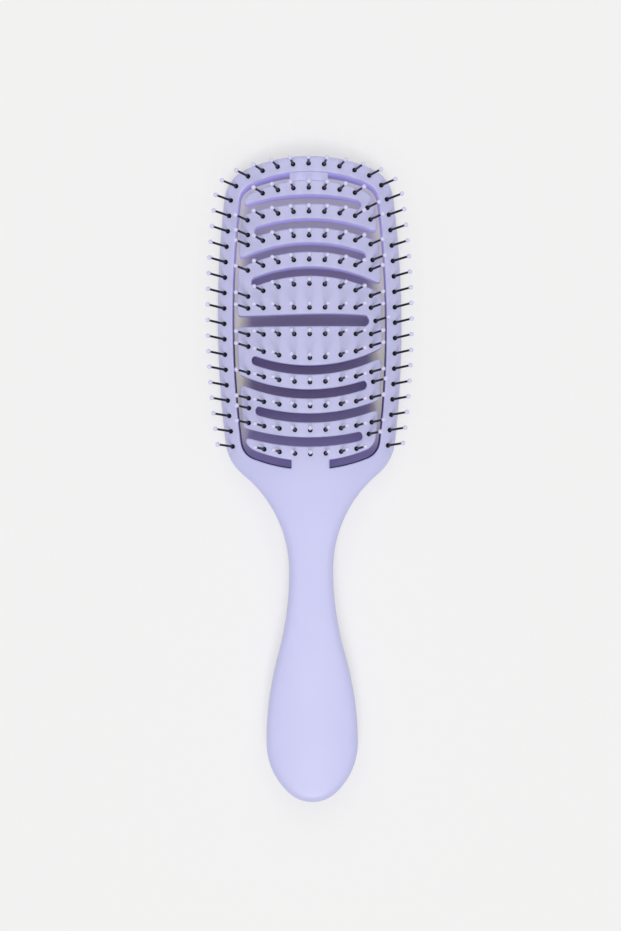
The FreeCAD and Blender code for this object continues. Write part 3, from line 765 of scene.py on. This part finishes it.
class Wire:
    # a socket in a node tree; sums and products on it add Math nodes

    def __init__(self, tree, socket):
        self.tree, self.socket = tree, socket

    def math(self, operation, *values):
        return addNode(self.tree, "ShaderNodeMath", {"operation": operation}, dict(enumerate(values)))

    def __add__(self, other):
        return self.math("ADD", self, other)

    def __radd__(self, other):
        return self.math("ADD", other, self)

    def __sub__(self, other):
        return self.math("SUBTRACT", self, other)

    def __rsub__(self, other):
        return self.math("SUBTRACT", other, self)

    def __mul__(self, other):
        return self.math("MULTIPLY", self, other)

    def __rmul__(self, other):
        return self.math("MULTIPLY", other, self)

    def __abs__(self):
        return self.math("ABSOLUTE", self)


def addNode(tree, kind, settings, inputs, output=0):
    # any node: its settings first, then values or wires for its sockets
    node = tree.nodes.new(kind)
    for name, value in settings.items():
        setattr(node, name, value)
    for name, value in inputs.items():
        if isinstance(value, Wire):
            tree.links.new(value.socket, node.inputs[name])
        else:
            node.inputs[name].default_value = value
    return Wire(tree, node.outputs[output])


def ramp(value, start, end):
    # 0 before the start, 1 past the end, smooth between
    return addNode(
        value.tree, "ShaderNodeMapRange", {"interpolation_type": "SMOOTHSTEP"},
        {"Value": value, "From Min": start, "From Max": end},
    )


def linear(colour):
    # levels from 0 to 255 on a screen, as light
    levels = [v / 255 for v in colour]
    return tuple(c / 12.92 if c <= 0.04045 else ((c + 0.055) / 1.055) ** 2.4 for c in levels) + (1,)


def mixColour(tree, share, first, second):
    # the colour sockets of a Mix node are 6 and 7, and 2 on its other side
    return addNode(tree, "ShaderNodeMix", {"data_type": "RGBA"}, {0: share, 6: first, 7: second}, 2)


def newFinish(name):
    material = bpy.data.materials.new(name)
    material.use_nodes = True
    shader = material.node_tree.nodes["Principled BSDF"]
    return material, material.node_tree, shader


def noise(tree, place, scale, detail):
    return addNode(tree, "ShaderNodeTexNoise", {}, {"Vector": place, "Scale": scale, "Detail": detail})


def feed(tree, wire, socket):
    tree.links.new(wire.socket, socket)


lavender = {
    "deep": (199, 199, 241), "pale": (206, 206, 245),
    "cloudScale": 45, "cloudDetail": 3,
    "wall": (175, 167, 226),     # painted shade on the slot walls, with a violet cast painted for light come through the plastic
    "under": (108, 94, 172),     # painted darker shade deep inside them
    "wallFrom": 0.00015, "wallTo": 0.0013, "underTo": 0.012,    # metres below the dome
    "notUnder": (-0.8, -0.4),    # how far a surface faces up; the back stays free of the painted shade and glow
    "litFrom": (0.035, 0.095),   # metres along the brush; towards the tip the painted shade is lighter and the painted glow stronger
    "litDeep": 0.75,             # share of the painted deep shade that it takes away
    "paintedGlow": (163, 157, 190), "paintedGlowStrength": 0.42,    # painted glow, given as emission, for light that soaks through to the walls there
    "paintedGlowFade": 0.7,             # share of the painted glow that is lost deep down
    "roughness": 0.42, "roughnessSpread": 0.08, "ior": 1.47,
    "grain": 900, "grainDetail": 2, "bumpStrength": 0.05, "bumpDistance": 0.00005,
    "speck": (120, 116, 150), "speckScale": 160, "speckSize": 0.035,
    "speckAbove": 0.985, "speckShare": 0.6,    # how rare and how strong the specks are
}

head = {"margin": 1.5, "corner": 13.5}    # a line round the opening, inside the frame


def withinHead(x, y):
    # 1 inside that line, 0 outside
    low, high = opening.min(0) - head["margin"], opening.max(0) + head["margin"]
    aside = abs(x) - mm * (high[0] - head["corner"])
    along = abs(y - mm * (low[1] + high[1]) / 2) - mm * ((high[1] - low[1]) / 2 - head["corner"])
    aside, along = aside.math("MAXIMUM", aside, 0), along.math("MAXIMUM", along, 0)
    away = aside * aside + along * along
    return away.math("LESS_THAN", away, (mm * head["corner"]) ** 2)


def slotDepth(tree, place):
    # three wires from 0 to 1 inside the head, masks of painted light and shade: below the dome, deep down, and lit
    # from the tip
    x, y, z = (addNode(tree, "ShaderNodeSeparateXYZ", {}, {0: place}, k) for k in range(3))
    facing = addNode(tree, "ShaderNodeTexCoord", {}, {}, "Normal")
    upward = addNode(tree, "ShaderNodeSeparateXYZ", {}, {0: facing}, 2)
    within = withinHead(x, y) * ramp(upward, *lavender["notUnder"])
    depth = mm * apex - x * x * (0.5 / (mm * shell["domeRadius"])) - z
    wall = within * ramp(depth, lavender["wallFrom"], lavender["wallTo"])
    near = ramp(y, *lavender["litFrom"])
    deep = within * ramp(depth, lavender["wallTo"], lavender["underTo"]) * (1 - lavender["litDeep"] * near)
    return wall, deep, wall * (1 - lavender["paintedGlowFade"] * deep) * near


def lavenderPlastic():
    material, tree, shader = newFinish("lavenderPlastic")
    place = addNode(tree, "ShaderNodeTexCoord", {}, {}, "Object")
    cloud = noise(tree, place, lavender["cloudScale"], lavender["cloudDetail"])
    grain = noise(tree, place, lavender["grain"], lavender["grainDetail"])
    face = mixColour(tree, cloud, linear(lavender["deep"]), linear(lavender["pale"]))
    cells = {"Vector": place, "Scale": lavender["speckScale"]}
    away = addNode(tree, "ShaderNodeTexVoronoi", {}, cells)
    cellColour = addNode(tree, "ShaderNodeTexVoronoi", {}, cells, "Color")
    chance = addNode(tree, "ShaderNodeSeparateColor", {}, {0: cellColour})
    isNear = away.math("LESS_THAN", away, lavender["speckSize"])
    isRare = chance.math("GREATER_THAN", chance, lavender["speckAbove"])
    face = mixColour(tree, isNear * isRare * lavender["speckShare"], face, linear(lavender["speck"]))
    # painted shade and light on the slot walls: a violet wall colour, a darker colour deep down, and a glow
    # towards the tip
    wall, deep, lit = slotDepth(tree, place)
    face = mixColour(tree, wall, face, linear(lavender["wall"]))
    # painted shade: darker deep down in the slots
    face = mixColour(tree, deep, face, linear(lavender["under"]))
    feed(tree, face, shader.inputs["Base Color"])
    spread = lavender["roughnessSpread"]
    feed(tree, lavender["roughness"] - spread / 2 + spread * grain, shader.inputs["Roughness"])
    bump = addNode(tree, "ShaderNodeBump", {}, {
        "Height": grain, "Strength": lavender["bumpStrength"], "Distance": lavender["bumpDistance"],
    })
    feed(tree, bump, shader.inputs["Normal"])
    shader.inputs["IOR"].default_value = lavender["ior"]
    # painted light: the walls towards the tip glow, though the plastic is no lamp
    paintedGlow = mixColour(tree, lit, (0, 0, 0, 1), linear(lavender["paintedGlow"]))
    feed(tree, paintedGlow, shader.inputs["Emission Color"])
    shader.inputs["Emission Strength"].default_value = lavender["paintedGlowStrength"]
    return material


black = {
    "colour": (6, 5, 9), "worn": (16, 14, 21), "scuffScale": 700, "scuffDetail": 2,
    "roughness": 0.34, "roughnessSpread": 0.12, "shine": 0.14,
}


def blackNylon():
    material, tree, shader = newFinish("blackNylon")
    place = addNode(tree, "ShaderNodeTexCoord", {}, {}, "Object")
    scuff = noise(tree, place, black["scuffScale"], black["scuffDetail"])
    feed(tree, black["roughness"] + black["roughnessSpread"] * scuff, shader.inputs["Roughness"])
    shader.inputs["Specular IOR Level"].default_value = black["shine"]
    colour = mixColour(tree, scuff, linear(black["colour"]), linear(black["worn"]))
    feed(tree, colour, shader.inputs["Base Color"])
    return material


tip = {
    "deep": (214, 211, 247), "pale": (224, 221, 251), "cloudScale": 300, "cloudDetail": 2,
    "roughness": 0.3, "roughnessSpread": 0.06,
}


def paleTip():
    material, tree, shader = newFinish("paleTip")
    place = addNode(tree, "ShaderNodeTexCoord", {}, {}, "Object")
    cloud = noise(tree, place, tip["cloudScale"], tip["cloudDetail"])
    colour = mixColour(tree, cloud, linear(tip["deep"]), linear(tip["pale"]))
    feed(tree, colour, shader.inputs["Base Color"])
    feed(tree, tip["roughness"] + tip["roughnessSpread"] * cloud, shader.inputs["Roughness"])
    return material


finishes = {"pins": blackNylon(), "tips": paleTip(), "body": lavenderPlastic()}
for node, piece in pieces.items():
    ending = node.rpartition("_")[2]
    piece.data.materials.clear()
    piece.data.materials.append(finishes.get(ending, finishes["body"]))
print("finishes on", len(pieces), "pieces")


# floor, light and camera

stage = {
    "floor": (248, 248, 247), "roughness": 0.9, "shine": 0.1, "size": 3,
    "seen": 0.87,       # brightness of the even backdrop, which only the camera sees
    "backdrop": 0.5,    # its share near the brush; the rest is the shaded floor
    "farFrom": (0.06, 0.2),    # square of the distance from the middle; past it the share is 1
    # painted shade on the floor under the panel: colours from the neck to the tip, and the places where each gives
    # way to the next
    "paintedFloorShades": [
        (114, 102, 172), (74, 57, 118), (93, 77, 128), (178, 172, 190), (214, 214, 216),
    ],
    "paintedFloorShadePlaces": [(0.004, 0.034), (0.055, 0.078), (0.076, 0.108), (0.105, 0.111)],
    "paintedSideShade": (196, 190, 182),    # painted shade on the floor in the gaps beside the panel
    "sideFrom": (0.021, 0.0265), "sideAlong": (0.005, 0.035),
}


def seenFloor(tree):
    # share and colour of the backdrop: even round the brush, with violet painted shade under the panel and painted
    # shade in the gaps beside it
    place = addNode(tree, "ShaderNodeTexCoord", {}, {}, "Object")
    x, y = (addNode(tree, "ShaderNodeSeparateXYZ", {}, {0: place}, k) for k in range(2))
    shades = [linear(c) for c in stage["paintedFloorShades"]]
    under = shades[0]
    for shade, span in zip(shades[1:], stage["paintedFloorShadePlaces"]):
        under = mixColour(tree, ramp(y, *span), under, shade)
    sideward = ramp(abs(x), *stage["sideFrom"]) * ramp(y, *stage["sideAlong"])
    under = mixColour(tree, sideward, under, linear(stage["paintedSideShade"]))
    share = stage["backdrop"] + (1 - stage["backdrop"]) * ramp(x * x + y * y, *stage["farFrom"])
    return share, mixColour(tree, withinHead(x, y), (stage["seen"],) * 3 + (1,), under)


def buildFloor():
    bm = bmesh.new()
    bmesh.ops.create_grid(bm, x_segments=1, y_segments=1, size=stage["size"] / 2)
    mesh = bpy.data.meshes.new("floor")
    bm.to_mesh(mesh)
    bm.free()
    floor = bpy.data.objects.new("floor", mesh)
    scene.collection.objects.link(floor)
    material, tree, shader = newFinish("paleFloor")
    shader.inputs["Base Color"].default_value = linear(stage["floor"])
    shader.inputs["Roughness"].default_value = stage["roughness"]
    shader.inputs["Specular IOR Level"].default_value = stage["shine"]
    share, colour = seenFloor(tree)
    # the backdrop's glow carries the painted shade under the panel
    paintedGlow = addNode(tree, "ShaderNodeEmission", {}, {"Color": colour})
    seen = addNode(tree, "ShaderNodeLightPath", {}, {}, "Is Camera Ray")
    lit = Wire(tree, shader.outputs[0])
    both = addNode(tree, "ShaderNodeMixShader", {}, {0: share * seen, 1: lit, 2: paintedGlow})
    feed(tree, both, tree.nodes["Material Output"].inputs["Surface"])
    mesh.materials.append(material)


light = {
    "key": {"at": (0, -0.87, 2.3), "aim": (0, 0.03, 0), "size": 0.9, "watts": 26.5},
    "fill": {"at": (0, 0.65, 1.2), "aim": (0, 0.08, 0), "size": 1.6, "watts": 5.8},
    "world": 0.385,
}


def buildLight(name, spec):
    lamp = bpy.data.lights.new(name, "AREA")
    lamp.size = spec["size"]
    lamp.energy = spec["watts"]
    obj = bpy.data.objects.new(name, lamp)
    obj.location = spec["at"]
    towards = Vector(spec["aim"]) - Vector(spec["at"])
    obj.rotation_euler = towards.to_track_quat("-Z", "Y").to_euler()
    scene.collection.objects.link(obj)


def buildWorld():
    world = bpy.data.worlds.new("room")
    scene.world = world
    world.use_nodes = True
    tree = world.node_tree
    background = tree.nodes["Background"]
    background.inputs["Color"].default_value = (1, 1, 1, 1)
    seen = addNode(tree, "ShaderNodeLightPath", {}, {}, "Is Camera Ray")
    feed(tree, light["world"] + (stage["seen"] - light["world"]) * seen, background.inputs["Strength"])


photo = {
    "middleY": 5,           # the camera stands over this place, the picture's middle
    "distance": 910,        # above the head's face
    "viewHeight": 344.8,    # what the picture takes in, at the head's face
    "turn": 0.35,           # degrees
    "sensor": 36,
    "clip": (0.05, 20),     # metres
}


def buildCamera():
    camera = bpy.data.cameras.new("camera")
    obj = bpy.data.objects.new("camera", camera)
    scene.collection.objects.link(obj)
    camera.sensor_fit = "VERTICAL"
    camera.sensor_height = camera.sensor_width = photo["sensor"]
    camera.lens = camera.sensor_height * photo["distance"] / photo["viewHeight"]
    camera.clip_start, camera.clip_end = photo["clip"]
    obj.location = Vector((0, photo["middleY"], apex + photo["distance"])) * mm
    obj.rotation_euler = (0, 0, -math.radians(photo["turn"]))
    scene.camera = obj


scene.view_settings.view_transform = "Standard"
buildFloor()
for name in ("key", "fill"):
    buildLight(name, light[name])
buildWorld()
buildCamera()
print("stage ready")
